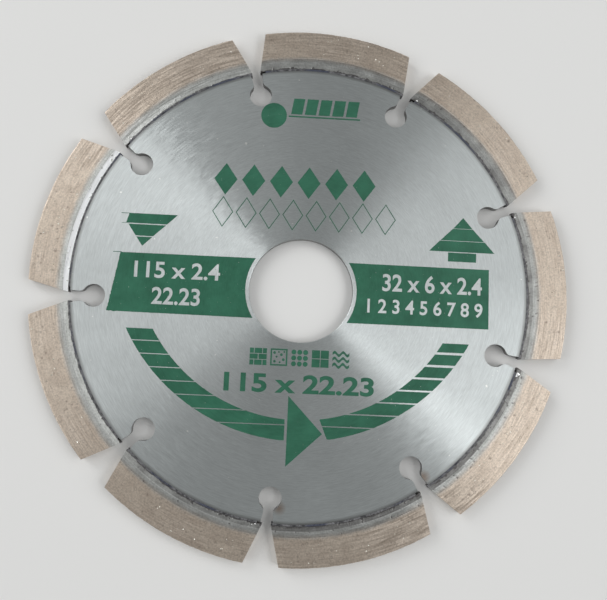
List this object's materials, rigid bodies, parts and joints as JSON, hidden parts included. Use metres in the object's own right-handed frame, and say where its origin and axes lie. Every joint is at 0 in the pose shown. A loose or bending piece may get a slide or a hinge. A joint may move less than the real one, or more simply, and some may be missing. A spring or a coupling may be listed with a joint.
{
  "type": "diamond blade",
  "caption": "Flat round cutting blade: a thin steel core with a central bore and keyhole gullets round the rim, carrying laser-welded diamond segments for cutting masonry and concrete.",
  "frame": {"origin": "centre of the bore at half the blade's thickness", "axes": "+Z along the spindle axis, out of the printed face; +X in the reading direction of the print"},
  "size_m": [0.115, 0.115, 0.0024],
  "materials": {
    "core_steel": "satin, ground in circles round the bore",
    "diamond_bond": "beige sintered metal full of grit, coarsely ground along the rim",
    "foot_metal": "grey sintered metal, ground bright towards the weld",
    "weld_metal": "dark scaled weld bead",
    "print_ink": "green screen-print ink, thin and satin, worn at the edges"
  },
  "bodies": {
    "root": {"core_disc": "core_steel", "diamond_segment_1": "diamond_bond", "diamond_segment_2": "diamond_bond", "diamond_segment_3": "diamond_bond", "diamond_segment_4": "diamond_bond", "diamond_segment_5": "diamond_bond", "diamond_segment_6": "diamond_bond", "diamond_segment_7": "diamond_bond", "diamond_segment_8": "diamond_bond", "diamond_segment_9": "diamond_bond", "segment_foot_1": "foot_metal", "segment_foot_2": "foot_metal", "segment_foot_3": "foot_metal", "segment_foot_4": "foot_metal", "segment_foot_5": "foot_metal", "segment_foot_6": "foot_metal", "segment_foot_7": "foot_metal", "segment_foot_8": "foot_metal", "segment_foot_9": "foot_metal", "weld_seam_1": "weld_metal", "weld_seam_2": "weld_metal", "weld_seam_3": "weld_metal", "weld_seam_4": "weld_metal", "weld_seam_5": "weld_metal", "weld_seam_6": "weld_metal", "weld_seam_7": "weld_metal", "weld_seam_8": "weld_metal", "weld_seam_9": "weld_metal"}
  },
  "joints": []
}
